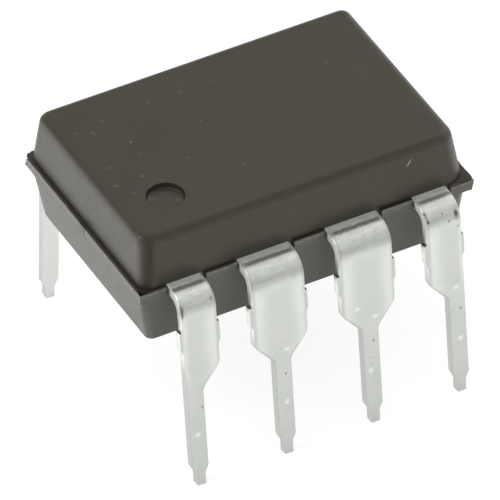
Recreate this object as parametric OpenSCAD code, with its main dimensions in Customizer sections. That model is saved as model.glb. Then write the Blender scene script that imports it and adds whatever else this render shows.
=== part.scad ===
// Eight-lead dual in-line package (DIP): a moulded resin body around a stamped
// leadframe, with the silicon die and its bond wires inside.
// X runs along the body with the pin 1 end at -X, the row of leads 1 to 4 faces -Y,
// and Z is up. The origin is on the surface that the lead tips stand on.

/* [Leadframe] */
// Thickness of the sheet that the leads and the die paddle are stamped from
frame_th = 0.25; // [0.2:0.01:0.3]
// Distance between neighbouring leads of a row
pitch = 2.54; // [2.4:0.01:2.7]
// Width of a full lead shoulder
shoulder_w = 1.5; // [1.2:0.01:1.6]
// Width of the leg below the shoulder
leg_w = 0.46; // [0.36:0.01:0.56]
// Width of the nib at the tip of a leg
nib_w = 0.25; // [0.16:0.01:0.34]
// Length of the straight part of the nib
nib_len = 0.36; // [0.2:0.01:0.5]
// Height over which the leg narrows to the nib
nib_taper = 0.24; // [0.1:0.01:0.4]
// Distance of the lead tips below the underside of the body
leg_reach = 4.15; // [3.6:0.01:4.6]
// Height of the body above the ends of the shoulders, where a circuit board seats
standoff = 0.54; // [0.38:0.01:0.8]
// Height over which a shoulder narrows to its leg
shoulder_taper = 0.55; // [0.3:0.01:0.8]
// Flat run of a lead between the upper wall and its bend
lead_run = 0.27; // [0.15:0.01:0.4]
// Inside radius of the lead bend
bend_r = 0.3; // [0.2:0.01:0.4]
// Angle by which the legs spread outwards from upright
splay = 4.4; // [0:0.1:8]
// How far the sheared-off stub of the dam bar stands out of a shoulder's edge
dam_stub = 0.07; // [0.03:0.01:0.12]
// Length of the dam bar stub along the shoulder
dam_len = 0.64; // [0.4:0.01:0.8]
// Distance of the dam bar stub below the top face of the leadframe
dam_drop = 0.96; // [0.85:0.01:1.1]
// Diameter of the lock hole in a middle lead, which the resin fills
lock_hole = 0.5; // [0.3:0.01:0.6]
// Depth of the lead shoulders behind the upper wall
root_len = 0.9; // [0.7:0.01:1]
// Width of the fingers that run from the shoulders to the paddle
finger_w = 0.5; // [0.4:0.01:0.6]
// Gap between the fingers and the die paddle
finger_gap = 0.25; // [0.15:0.01:0.35]

/* [Body] */
// Length of the parting flange, the longest part of the moulding
flange_len = 9.67; // [9.3:0.01:10.1]
// Width of the parting flange
flange_wid = 6.56; // [6.3:0.01:6.9]
// How far the flange stands out beyond each end of the upper half
upper_ledge_end = 0.135; // [0.05:0.005:0.2]
// How far the flange stands out beyond each side of the upper half
upper_ledge_side = 0.1; // [0.02:0.005:0.15]
// Height of the upper half above the flange
upper_h = 1.41; // [1.2:0.01:1.6]
// Radius of the upper half's upright corners at the flange
upper_corner = 0.42; // [0.3:0.01:0.55]
// Radius along the rim of the top face
top_edge_r = 0.2; // [0.05:0.01:0.22]
// How far the flange stands out beyond each end of the lower half
lower_ledge_end = 0.075; // [0.02:0.005:0.15]
// How far the flange stands out beyond each side of the lower half
lower_ledge_side = 0.03; // [0.01:0.005:0.1]
// Depth of the lower half below the flange
lower_h = 1.52; // [1.3:0.01:1.7]
// Radius of the lower half's upright corners at the flange
lower_corner = 0.3; // [0.3:0.01:0.6]
// Radius along the rim of the underside
under_edge_r = 0.08; // [0.04:0.01:0.12]
// Angle by which the walls of both halves lean in, so that the body leaves its mould
draft = 7; // [5:0.1:8]
// Diameter of the dimple that marks lead 1
dot_dia = 1; // [0.7:0.01:1.2]
// Depth of the pin 1 dimple
dot_depth = 0.1; // [0.05:0.01:0.15]
// Distance of the dimple's centre from the end of the top face
dot_end = 1.37; // [1.2:0.01:1.6]
// Distance of the dimple's centre from the front of the top face
dot_side = 1.47; // [1.2:0.01:1.8]
// Diameter of the two ejector pin marks in the underside
ejector_dia = 1.4; // [1:0.01:1.6]
// Depth of the ejector pin marks
ejector_depth = 0.05; // [0.02:0.01:0.1]
// Distance between the two ejector pin marks
ejector_span = 4.6; // [4:0.01:5.5]

/* [Die and wires] */
// Length of the die paddle
paddle_len = 3.4; // [3:0.01:3.6]
// Width of the die paddle
paddle_wid = 2.2; // [2:0.01:2.4]
// Width of the tie bars that hold the paddle at both ends
tie_w = 0.3; // [0.2:0.01:0.4]
// Length of the silicon die
die_len = 2; // [1.6:0.01:2.3]
// Width of the silicon die
die_wid = 1.5; // [1.2:0.01:1.7]
// Thickness of the silicon die
die_th = 0.28; // [0.2:0.01:0.4]
// Thickness of the silver epoxy under the die
glue_th = 0.03; // [0.02:0.01:0.05]
// How far the epoxy spreads beyond the die
glue_rim = 0.08; // [0.04:0.01:0.12]
// Distance of the bond pads from the edge of the die
pad_inset = 0.12; // [0.08:0.01:0.2]
// Diameter of the bond wire
wire_dia = 0.03; // [0.025:0.001:0.05]
// Diameter of the ball that starts each wire on its pad
ball_dia = 0.08; // [0.07:0.001:0.1]
// Height of the wire loops above the die
loop_h = 0.3; // [0.2:0.01:0.4]

/* [Hidden] */
$fn = 48;

leads_per_row = 4;
lead_count = 2 * leads_per_row;
bend_steps = 12;
edge_steps = 4;
wire_sides = 6;
// How far the round corners stand proud of the walls, so that they cross cleanly
corner_proud = 0.002;

// Heights above the lead tips
under_z = leg_reach;
frame_z = under_z + lower_h;
frame_top_z = frame_z + frame_th;
top_z = frame_top_z + upper_h;
glue_z = frame_top_z;
die_z = glue_z + glue_th;
die_top_z = die_z + die_th;

// Both halves where they meet the flange
upper_len = flange_len - 2 * upper_ledge_end;
upper_wid = flange_wid - 2 * upper_ledge_side;
lower_len = flange_len - 2 * lower_ledge_end;
lower_wid = flange_wid - 2 * lower_ledge_side;
lean_upper = upper_h * tan(draft);

// Distances from the middle plane between the rows, outwards
wall_y = upper_wid / 2;
root_y = wall_y - root_len;
bend_y = wall_y + lead_run;
bend_out_r = bend_r + frame_th;
bend_z = frame_z - bend_r;
leg_len = (bend_z + bend_r * sin(splay)) / cos(splay);
view_depth = bend_y + leg_reach;

finger_end_y = paddle_wid / 2 + finger_gap;
end_finger_x = paddle_len / 2 + finger_gap;
dot_x = dot_end + lean_upper - upper_len / 2;
dot_y = dot_side + lean_upper - wall_y;
resin_color = [0.3, 0.29, 0.26];
tin_color = [0.82, 0.84, 0.82];

// Points on an arc about [x, y], from the first angle to the last
function arc(x, y, r, from, to, steps) =
    [for (i = [0 : steps]) let (a = from + (to - from) * i / steps) [x + r * cos(a), y + r * sin(a)]];

// Place of each lead, numbered anticlockwise seen from above
function is_front(n) = n <= leads_per_row;
function lead_x(n) =
    (is_front(n) ? n - (leads_per_row + 1) / 2 : lead_count - n - (leads_per_row - 1) / 2) * pitch;
function is_end(n) = abs(lead_x(n)) > pitch;
function row_side(n) = is_front(n) ? -1 : 1;
function end_side(n) = lead_x(n) < 0 ? -1 : 1;

// Widths of a lead to its left and right, seen with the body's end on the left
function half_left(n) = is_end(n) ? leg_w / 2 : shoulder_w / 2;

// Side view of a lead outside its root: a flat run, the bend and the spread leg
module side_view() {
    down = [sin(splay), -cos(splay)];
    out = [cos(splay), sin(splay)];
    bend = [bend_y, bend_z];
    polygon(concat(
        [[wall_y, frame_top_z]],
        arc(bend_y, bend_z, bend_out_r, 90, splay, bend_steps),
        [bend + bend_out_r * out + leg_len * down],
        [bend + bend_r * out + leg_len * down],
        arc(bend_y, bend_z, bend_r, splay, 90, bend_steps),
        [[wall_y, frame_z]]
    ));
}

// Front view of a lead: shoulder, dam bar stubs, taper, leg and nib
module front_view(left) {
    right = shoulder_w / 2;
    leg = leg_w / 2;
    nib = nib_w / 2;
    seat_z = under_z - standoff;
    leg_top_z = seat_z - shoulder_taper;
    nib_top_z = nib_len + nib_taper;
    dam_z = frame_top_z - dam_drop;
    polygon([
        [-left, frame_top_z], [-left, dam_z], [-left - dam_stub, dam_z],
        [-left - dam_stub, dam_z - dam_len], [-left, dam_z - dam_len],
        [-left, seat_z], [-leg, leg_top_z],
        [-leg, nib_top_z], [-nib, nib_len], [-nib, 0],
        [nib, 0], [nib, nib_len], [leg, nib_top_z],
        [leg, leg_top_z], [right, seat_z],
        [right, dam_z - dam_len], [right + dam_stub, dam_z - dam_len],
        [right + dam_stub, dam_z], [right, dam_z], [right, frame_top_z]
    ]);
}

// Plan of a middle lead inside the body: a wide root that narrows to a finger
module middle_plan() {
    neck = finger_w / 2;
    difference() {
        polygon([
            [-shoulder_w / 2, bend_y], [-shoulder_w / 2, root_y],
            [-neck, root_y - (shoulder_w - finger_w) / 2], [-neck, finger_end_y],
            [neck, finger_end_y], [neck, root_y - (shoulder_w - finger_w) / 2],
            [shoulder_w / 2, root_y], [shoulder_w / 2, bend_y]
        ]);
        translate([0, root_y + root_len / 2]) circle(d = lock_hole);
    }
}

// Plan of an end lead inside the body: its finger slants in to the paddle's end
module end_plan() {
    reach = 1.5 * pitch - end_finger_x;
    tip_y = tie_w / 2 + finger_gap;
    polygon([
        [-leg_w / 2, bend_y], [-leg_w / 2, root_y - finger_w / 2],
        [reach - finger_w, finger_end_y - finger_w / 2], [reach - finger_w, tip_y],
        [reach, tip_y], [reach, finger_end_y],
        [shoulder_w / 2, root_y - finger_w / 4], [shoulder_w / 2, bend_y]
    ]);
}

// A whole lead, drawn with the body's end on its left and its leg towards +Y
module lead_shape(n) {
    intersection() {
        rotate([90, 0, 90])
            linear_extrude(2 * shoulder_w, center = true) side_view();
        rotate([90, 0, 0])
            linear_extrude(2 * view_depth, center = true) front_view(half_left(n));
    }
    translate([0, 0, frame_z]) linear_extrude(frame_th)
        if (is_end(n)) end_plan();
        else middle_plan();
}

// A lead at its place in its row
module lead(n) {
    color(tin_color)
        translate([lead_x(n), 0, 0])
            scale([-end_side(n), row_side(n), 1]) lead_shape(n);
}

// Wall of a moulded half, from the parting line up and over its rounded rim.
// The rim's arc starts where the leaning wall ends and stops at the flat face.
function wall(half_width, h, edge_r) =
    let (tuck = edge_r * tan((90 - draft) / 2))
    concat(
        [[half_width, 0]],
        arc(half_width - h * tan(draft) - tuck, h - edge_r, edge_r, draft, 90, edge_steps)
    );
// Radius of a rim, held to what the upright corner still has left at its top
function rim(edge_r, h, corner_r) =
    min(edge_r, 0.9 * (corner_r - h * tan(draft)) / tan((90 - draft) / 2));
function mirrored(points) =
    [for (i = [len(points) - 1 : -1 : 0]) [-points[i][0], points[i][1]]];

// One moulded half with leaning walls, round upright corners and a round rim
module moulded_half(length, width, h, corner_r, edge_r) {
    rim_r = rim(edge_r, h, corner_r);
    end_wall = wall(length / 2, h, rim_r);
    side_wall = wall(width / 2, h, rim_r);
    corner_wall = wall(corner_r + corner_proud, h, rim_r);
    rotate([90, 0, 0]) linear_extrude(width - 2 * corner_r, center = true)
        polygon(concat(end_wall, mirrored(end_wall)));
    rotate([90, 0, 90]) linear_extrude(length - 2 * corner_r, center = true)
        polygon(concat(side_wall, mirrored(side_wall)));
    for (x = [-1, 1], y = [-1, 1])
        translate([x * (length / 2 - corner_r), y * (width / 2 - corner_r), 0])
            rotate_extrude() polygon(concat([[0, 0]], corner_wall, [[0, h]]));
}

// The moulding without the spaces that its inner pieces fill
module moulding() {
    translate([-flange_len / 2, -flange_wid / 2, frame_z])
        cube([flange_len, flange_wid, frame_th]);
    translate([0, 0, frame_top_z])
        moulded_half(upper_len, upper_wid, upper_h, upper_corner, top_edge_r);
    translate([0, 0, frame_z]) mirror([0, 0, 1])
        moulded_half(lower_len, lower_wid, lower_h, lower_corner, under_edge_r);
}

module body() {
    color(resin_color) difference() {
        moulding();
        translate([dot_x, dot_y, top_z - dot_depth]) cylinder(d = dot_dia, h = 2 * dot_depth);
        for (x = [-1, 1])
            translate([x * ejector_span / 2, 0, under_z - ejector_depth])
                cylinder(d = ejector_dia, h = 2 * ejector_depth);
        die_paddle();
        die_attach();
        die();
        for (n = [1 : lead_count]) {
            lead(n);
            bond_wire(n);
        }
    }
}

// The island that carries the die, with the tie bars that held it in the frame
module die_paddle() {
    color([0.72, 0.45, 0.3]) translate([0, 0, frame_z]) linear_extrude(frame_th) {
        square([paddle_len, paddle_wid], center = true);
        square([flange_len, tie_w], center = true);
    }
}

module die_attach() {
    color([0.7, 0.7, 0.68])
        translate([-die_len / 2 - glue_rim, -die_wid / 2 - glue_rim, glue_z])
            cube([die_len + 2 * glue_rim, die_wid + 2 * glue_rim, glue_th]);
}

module die() {
    color([0.35, 0.38, 0.45])
        translate([-die_len / 2, -die_wid / 2, die_z])
            cube([die_len, die_wid, die_th]);
}

// Where a wire starts on the die and where it ends on its lead
function pad_x(n) = lead_x(n) / (1.5 * pitch) * (die_len / 2 - pad_inset);
function pad_y(n) = row_side(n) * (die_wid / 2 - pad_inset);
function foot_x(n) =
    is_end(n) ? end_side(n) * (end_finger_x + finger_w / 2) : lead_x(n);
function foot_y(n) =
    is_end(n) ? row_side(n) * (tie_w / 2 + 2 * finger_gap)
              : row_side(n) * (finger_end_y + finger_gap);

// A bond wire: a ball on the pad, a loop, and a stitch pressed flat on the finger.
// Each ring is [distance along the span, height, slope, half width, half thickness].
module bond_wire(n) {
    from = [pad_x(n), pad_y(n)];
    to = [foot_x(n), foot_y(n)];
    span = norm(to - from);
    along = (to - from) / span;
    r = wire_dia / 2;
    ball = ball_dia / 2;
    stitch = 2 * wire_dia;
    drop = die_top_z - frame_top_z;
    peak = loop_h;
    flat = r / 2;
    foot_z = flat * sin(60) - drop;
    rings = [
        [0, 0, 90, ball, ball],
        [0, r, 90, ball, ball],
        [0, 2 * r, 90, r, r],
        [0, peak - 5 * r, 90, r, r],
        [1.5 * r, peak - 1.5 * r, 50, r, r],
        [5 * r, peak, 0, r, r],
        [span / 3, peak * 0.85, -18, r, r],
        [span - 2 * stitch, foot_z + 1.8 * r, -35, r, r],
        [span - stitch, foot_z, 0, 1.4 * r, flat],
        [span, foot_z, 0, 1.4 * r, flat]
    ];
    last = len(rings) - 1;
    points = [for (ring = rings, i = [0 : wire_sides - 1])
        let (
            a = 360 * i / wire_sides,
            across = ring[3] * cos(a),
            up = ring[4] * sin(a),
            s = ring[0] - up * sin(ring[2]),
            z = ring[1] + up * cos(ring[2])
        )
        [from[0] + s * along[0] - across * along[1],
         from[1] + s * along[1] + across * along[0],
         die_top_z + z]];
    start = [for (i = [0 : wire_sides - 1]) i];
    end = [for (i = [wire_sides - 1 : -1 : 0]) last * wire_sides + i];
    walls = [for (k = [0 : last - 1], i = [0 : wire_sides - 1])
        let (
            a = k * wire_sides + i,
            b = k * wire_sides + (i + 1) % wire_sides,
            c = b + wire_sides,
            d = a + wire_sides
        )
        each [[a, d, c], [a, c, b]]];
    color([0.95, 0.75, 0.3]) polyhedron(points, concat([start, end], walls), convexity = 4);
}

body();
die_paddle();
die_attach();
die();
for (n = [1 : lead_count]) {
    lead(n);
    bond_wire(n);
}
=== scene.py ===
# %% [markdown]
# # An eight-lead dual in-line package
# The object is a block of moulded resin with two rows of four tin-plated leads. Inside it
# are a silicon die on a copper paddle and eight gold wires.
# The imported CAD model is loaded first, because each piece has to sit where it says.
# The box right after loading is the space that the finished model may not leave.

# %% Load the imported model
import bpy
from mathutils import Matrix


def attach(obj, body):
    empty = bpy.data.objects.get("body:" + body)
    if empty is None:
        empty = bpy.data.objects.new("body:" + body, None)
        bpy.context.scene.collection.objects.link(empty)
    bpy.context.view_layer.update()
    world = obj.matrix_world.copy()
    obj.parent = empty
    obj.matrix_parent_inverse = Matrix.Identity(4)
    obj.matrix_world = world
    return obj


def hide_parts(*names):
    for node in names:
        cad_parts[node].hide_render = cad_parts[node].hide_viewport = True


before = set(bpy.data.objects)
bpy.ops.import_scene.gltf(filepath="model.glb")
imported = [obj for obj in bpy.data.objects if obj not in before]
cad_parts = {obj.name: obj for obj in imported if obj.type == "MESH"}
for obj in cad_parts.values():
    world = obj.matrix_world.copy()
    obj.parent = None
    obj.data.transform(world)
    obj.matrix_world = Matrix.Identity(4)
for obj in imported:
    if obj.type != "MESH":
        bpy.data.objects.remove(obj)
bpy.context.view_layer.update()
print("CAD nodes:", len(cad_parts))

# %% [markdown]
# Blender works in metres, and this package is less than 10 mm long. Bevels and merges are
# hard to set at that size, so each piece is modelled with one unit for a millimetre and is
# shrunk to metres when it is finished.

# %% Modules and the unit
import math

import bmesh
import bpy
from mathutils import Matrix, Vector

MILLIMETRE = 0.001

# %% [markdown]
# ## The sizes that the pieces share
# The leads and the die paddle come from one sheet, 0.25 mm thick. Both halves of the mould
# close on that sheet, so its two faces give the heights of the parting flange.

# %% Heights above the lead tips
sheet = 0.25
under_z = 4.135
sheet_z = 5.67
sheet_top_z = sheet_z + sheet
top_z = 7.33
print("upper half", round(top_z - sheet_top_z, 2), "mm, lower half", round(sheet_z - under_z, 2), "mm")

# %% [markdown]
# ## Hand tools
# An operator acts on all that is selected, so every step first clears the selection and
# then picks faces, edges or vertices by their place. These few helpers stand in for the
# mouse: pick, extrude, scale about a point, and apply a modifier.

# %% Adding a primitive
def clear_selection():
    """Leaves nothing selected in object mode."""
    bpy.ops.object.select_all(action="DESELECT")


def place_in_mesh():
    """Moves the active object's place, turn and size into its mesh."""
    bpy.ops.object.transform_apply(location=True, rotation=True, scale=True)


def add_block(name, size, centre):
    """Adds a cube primitive of this size at this place."""
    clear_selection()
    bpy.ops.mesh.primitive_cube_add(size=1, location=centre, scale=size)
    block = bpy.context.object
    block.name = name
    place_in_mesh()
    return block


def add_cutter(radius, depth, centre):
    """Adds an upright cylinder primitive that will cut a round recess."""
    clear_selection()
    bpy.ops.mesh.primitive_cylinder_add(vertices=64, radius=radius, depth=depth, location=centre)
    place_in_mesh()
    return bpy.context.object


# %% Picking and shaping in edit mode
MODES = {"verts": "VERT", "edges": "EDGE", "faces": "FACE"}


def edit(piece):
    """Opens one piece in edit mode."""
    clear_selection()
    piece.select_set(True)
    bpy.context.view_layer.objects.active = piece
    bpy.ops.object.mode_set(mode="EDIT")


def leave_edit():
    bpy.ops.object.mode_set(mode="OBJECT")


def pick(kind, test):
    """Selects the faces, edges or vertices that pass the test, and says how many."""
    bpy.ops.mesh.select_mode(type=MODES[kind])
    bpy.ops.mesh.select_all(action="DESELECT")
    mesh = bmesh.from_edit_mesh(bpy.context.object.data)
    chosen = [item for item in getattr(mesh, kind) if test(item)]
    for item in chosen:
        item.select_set(True)
    mesh.select_flush_mode()
    bmesh.update_edit_mesh(bpy.context.object.data)
    return len(chosen)


def extrude(move=(0, 0, 0)):
    """Extrudes the selected faces as one region."""
    bpy.ops.mesh.extrude_region_move(TRANSFORM_OT_translate={"value": tuple(move)})


def scale_about(factors, pivot=(0, 0, 0)):
    """Scales the selection about a point."""
    bpy.ops.transform.resize(value=factors, center_override=pivot)


def round_edges(radius, segments):
    """Bevels the selected edges to a round."""
    bpy.ops.mesh.bevel(
        offset=radius, segments=segments, profile=0.5, affect="EDGES", clamp_overlap=False
    )


def middle(edge):
    return (edge.verts[0].co + edge.verts[1].co) / 2


def rise(edge):
    return abs(edge.verts[0].co.z - edge.verts[1].co.z)


# %% Modifiers, merging and the last step to metres
def apply_modifier(piece, kind, **settings):
    """Adds a modifier, sets it and applies it."""
    clear_selection()
    piece.select_set(True)
    bpy.context.view_layer.objects.active = piece
    bpy.ops.object.modifier_add(type=kind)
    modifier = piece.modifiers[-1]
    for name, value in settings.items():
        setattr(modifier, name, value)
    bpy.ops.object.modifier_apply(modifier=modifier.name)


def cut_out(piece, cutter):
    """Cuts one shape out of a piece and throws the cutter away."""
    apply_modifier(piece, "BOOLEAN", operation="DIFFERENCE", solver="EXACT", object=cutter)
    bpy.data.objects.remove(cutter)


def merge_and_turn_out(piece):
    """Merges doubled points, then turns all faces outwards."""
    edit(piece)
    bpy.ops.mesh.select_all(action="SELECT")
    bpy.ops.mesh.remove_doubles(threshold=0.0005)
    bpy.ops.mesh.normals_make_consistent(inside=False)
    leave_edit()


def open_edges(piece):
    """Counts the edges that don't have exactly two faces."""
    mesh = bmesh.new()
    mesh.from_mesh(piece.data)
    count = sum(1 for edge in mesh.edges if len(edge.link_faces) != 2)
    mesh.free()
    return count


def finish_piece(piece, name, material, nodes, smooth_angle=35):
    """Shrinks a piece from millimetres to metres and ties it to the frame."""
    clear_selection()
    piece.select_set(True)
    bpy.context.view_layer.objects.active = piece
    piece.name = name
    piece.data.name = name
    piece.scale = (MILLIMETRE,) * 3
    place_in_mesh()
    bpy.ops.object.shade_smooth_by_angle(angle=math.radians(smooth_angle))
    apply_modifier(piece, "WEIGHTED_NORMAL", keep_sharp=True)
    piece.data.materials.clear()
    piece.data.materials.append(material)
    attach(piece, "root")
    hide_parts(*nodes)
    print(name, "faces", len(piece.data.polygons), "open edges", open_edges(piece))


# %% [markdown]
# ## The camera
# The photograph was taken with a long lens from the front left, about 40 degrees above the
# table. The angles, the distance and the focal length come from matching the edges of the
# body and the lead tips. The camera doesn't need any shift.

# %% Camera at the photograph's viewing angle
turn = math.radians(-26.958)
tilt = math.radians(39.877)
roll = math.radians(-1.443)
distance = 283.738
lens_mm = 793.26
aim = Vector((-0.054, 2.16))
back = Vector((math.sin(turn) * math.cos(tilt), -math.cos(turn) * math.cos(tilt), math.sin(tilt)))
level_right = Vector((math.cos(turn), math.sin(turn), 0))
level_up = back.cross(level_right)
camera_right = math.cos(roll) * level_right + math.sin(roll) * level_up
camera_up = math.cos(roll) * level_up - math.sin(roll) * level_right
spot = distance * back - aim.x * camera_right - aim.y * camera_up + Vector((0, 0, sheet_top_z))

bpy.ops.object.camera_add()
camera = bpy.context.object
axes = Matrix((camera_right, camera_up, back)).transposed()
camera.matrix_world = Matrix.Translation(spot * MILLIMETRE) @ axes.to_4x4()
camera.data.lens = lens_mm
camera.data.sensor_width = 36
camera.data.clip_start = 0.01
camera.data.clip_end = 20
bpy.context.scene.camera = camera
print("camera at", [round(value, 1) for value in spot], "mm")

# %% [markdown]
# ## Patterns that several finishes share
# A node group is one pattern with named inputs. The materials put their own values in it.
# All groups take a place in millimetres, which the material gets from Object coordinates.

# %% Helpers that build node trees
def new_group(name, inputs, outputs):
    """Starts a node group and gives back its tree, its input node and its output node."""
    tree = bpy.data.node_groups.new(name, "ShaderNodeTree")
    for label, kind, value in inputs:
        socket = tree.interface.new_socket(label, in_out="INPUT", socket_type="NodeSocket" + kind)
        if value is not None:
            socket.default_value = value
    for label, kind in outputs:
        tree.interface.new_socket(label, in_out="OUTPUT", socket_type="NodeSocket" + kind)
    return tree, tree.nodes.new("NodeGroupInput"), tree.nodes.new("NodeGroupOutput")


def feed(tree, socket, value):
    """Links a socket to an input, or writes a plain value in it."""
    if isinstance(value, bpy.types.NodeSocket):
        tree.links.new(value, socket)
    else:
        socket.default_value = value


def put(tree, kind, settings=None, **values):
    """Adds a node. Values go to its inputs by name, or by number as i0, i1 and so on."""
    node = tree.nodes.new("ShaderNode" + kind)
    for key, value in (settings or {}).items():
        setattr(node, key, value)
    for key, value in values.items():
        numbered = key[0] == "i" and key[1:].isdigit()
        feed(tree, node.inputs[int(key[1:]) if numbered else key.replace("_", " ")], value)
    return node


def maths(tree, operation, first, second=0.0, third=0.0):
    """One Math node."""
    return put(tree, "Math", {"operation": operation}, i0=first, i1=second, i2=third).outputs[0]


def ramp(tree, value, low, high, start=0.0, end=1.0):
    """Turns a value between low and high smoothly into one between start and end."""
    node = put(
        tree, "MapRange", {"interpolation_type": "SMOOTHSTEP"},
        Value=value, From_Min=low, From_Max=high, To_Min=start, To_Max=end,
    )
    return node.outputs["Result"]


def slope(tree, value, low, high, start=0.0, end=1.0):
    """The same, but in a straight line."""
    node = put(tree, "MapRange", Value=value, From_Min=low, From_Max=high, To_Min=start, To_Max=end)
    return node.outputs["Result"]


def blend_colour(tree, amount, first, second, mode="MIX"):
    """Mixes two colours."""
    node = put(tree, "Mix", {"data_type": "RGBA", "blend_type": mode}, i0=amount, i6=first, i7=second)
    return node.outputs[2]


def tone_curve(tree, value, stops):
    """A grey that follows a value. The stops are (value, grey), from low to high."""
    first, last = stops[0][0], stops[-1][0]
    node = put(tree, "ValToRGB", Fac=slope(tree, value, first, last))
    points = node.color_ramp.elements
    points[0].color = (stops[0][1],) * 3 + (1,)
    points[-1].color = (stops[-1][1],) * 3 + (1,)
    for stop, grey in stops[1:-1]:
        points.new((stop - first) / (last - first)).color = (grey,) * 3 + (1,)
    return node.outputs["Color"]


# %% Specks: small dots, each cell of a grid has one or none
def make_speck_group():
    tree, source, sink = new_group(
        "specks",
        [("Place", "Vector", None), ("Spacing", "Float", 0.5), ("Size", "Float", 0.1), ("Share", "Float", 0.2)],
        [("Mask", "Float")],
    )
    density = maths(tree, "DIVIDE", 1.0, source.outputs["Spacing"])
    cells = put(tree, "TexVoronoi", Vector=source.outputs["Place"], Scale=density, Randomness=1.0)
    away = maths(tree, "MULTIPLY", cells.outputs["Distance"], source.outputs["Spacing"])
    inner = maths(tree, "MULTIPLY", source.outputs["Size"], 0.5)
    dot = ramp(tree, away, inner, source.outputs["Size"], 1.0, 0.0)
    split = put(tree, "SeparateColor", Color=cells.outputs["Color"])
    chosen = maths(tree, "LESS_THAN", split.outputs[0], source.outputs["Share"])
    weight = maths(tree, "MULTIPLY", chosen, split.outputs[1])
    tree.links.new(maths(tree, "MULTIPLY", dot, weight), sink.inputs["Mask"])
    return tree


specks = make_speck_group()

# %% Mottle: soft cloudy unevenness between 0 and 1
def make_mottle_group():
    tree, source, sink = new_group(
        "mottle",
        [("Place", "Vector", None), ("Grain", "Float", 0.3), ("Detail", "Float", 3.0), ("Contrast", "Float", 0.2)],
        [("Mask", "Float")],
    )
    density = maths(tree, "DIVIDE", 1.0, source.outputs["Grain"])
    cloud = put(
        tree, "TexNoise", Vector=source.outputs["Place"], Scale=density, Detail=source.outputs["Detail"]
    )
    low = maths(tree, "SUBTRACT", 0.5, source.outputs["Contrast"])
    high = maths(tree, "ADD", 0.5, source.outputs["Contrast"])
    tree.links.new(ramp(tree, cloud.outputs["Fac"], low, high), sink.inputs["Mask"])
    return tree


mottle = make_mottle_group()

# %% Mark: one soft spot with its own place, radii and turn
def make_mark_group():
    tree, source, sink = new_group(
        "mark",
        [("Place", "Vector", None), ("Centre", "Vector", (0, 0, 0)), ("Radii", "Vector", (1, 1, 1)),
         ("Turn", "Vector", (0, 0, 0)), ("Core", "Float", 0.35)],
        [("Mask", "Float")],
    )
    place = source.outputs["Place"]
    away = put(tree, "VectorMath", {"operation": "SUBTRACT"}, i0=place, i1=source.outputs["Centre"])
    turned = put(
        tree, "VectorRotate", {"rotation_type": "EULER_XYZ"},
        Vector=away.outputs[0], Rotation=source.outputs["Turn"],
    )
    scaled = put(
        tree, "VectorMath", {"operation": "DIVIDE"}, i0=turned.outputs[0], i1=source.outputs["Radii"]
    )
    reach = put(tree, "VectorMath", {"operation": "LENGTH"}, i0=scaled.outputs[0])
    spot_mask = ramp(tree, reach.outputs["Value"], source.outputs["Core"], 1.0, 1.0, 0.0)
    tree.links.new(spot_mask, sink.inputs["Mask"])
    return tree


mark = make_mark_group()
print("node groups:", [group.name for group in (specks, mottle, mark)])

# %% A material in which the patterns can be placed
def start_material(name, viewport):
    """A new material with its shader, and the place on the piece in millimetres."""
    material = bpy.data.materials.new(name)
    material.use_nodes = True
    material.diffuse_color = viewport
    tree = material.node_tree
    shader = tree.nodes["Principled BSDF"]
    coordinates = put(tree, "TexCoord")
    place = put(tree, "Mapping", Vector=coordinates.outputs["Object"], Scale=(1 / MILLIMETRE,) * 3)
    return material, tree, shader, place.outputs[0]


def use_group(tree, group, **values):
    """Places a node group and gives back its outputs."""
    node = tree.nodes.new("ShaderNodeGroup")
    node.node_tree = group
    for key, value in values.items():
        feed(tree, node.inputs[key], value)
    return node.outputs


def pattern(tree, group, **values):
    """Places a node group that has one mask and gives back that mask."""
    return use_group(tree, group, **values)["Mask"]


def add_marks(tree, colour, place, marks):
    """Lays marks over a colour. Each is (centre, radii, turn in degrees, colour, strength)."""
    for centre, radii, turn_degrees, tone, strength in marks:
        turn_value = tuple(math.radians(angle) for angle in turn_degrees)
        mask = pattern(tree, mark, Place=place, Centre=centre, Radii=radii, Turn=turn_value)
        colour = blend_colour(tree, maths(tree, "MULTIPLY", mask, strength), colour, tone)
    return colour


def bump(tree, shader, height, depth_mm):
    """Feeds a height into the shader's normal. The depth is in millimetres."""
    node = put(tree, "Bump", Height=height, Distance=depth_mm * MILLIMETRE, Strength=1.0)
    tree.links.new(node.outputs[0], shader.inputs["Normal"])


def facing(tree):
    """How squarely a face looks along x, y and z, each from 0 to 1."""
    normal = put(tree, "NewGeometry").outputs["Normal"]
    parts = put(tree, "SeparateXYZ", Vector=normal)
    return [maths(tree, "ABSOLUTE", part) for part in parts.outputs]
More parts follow.
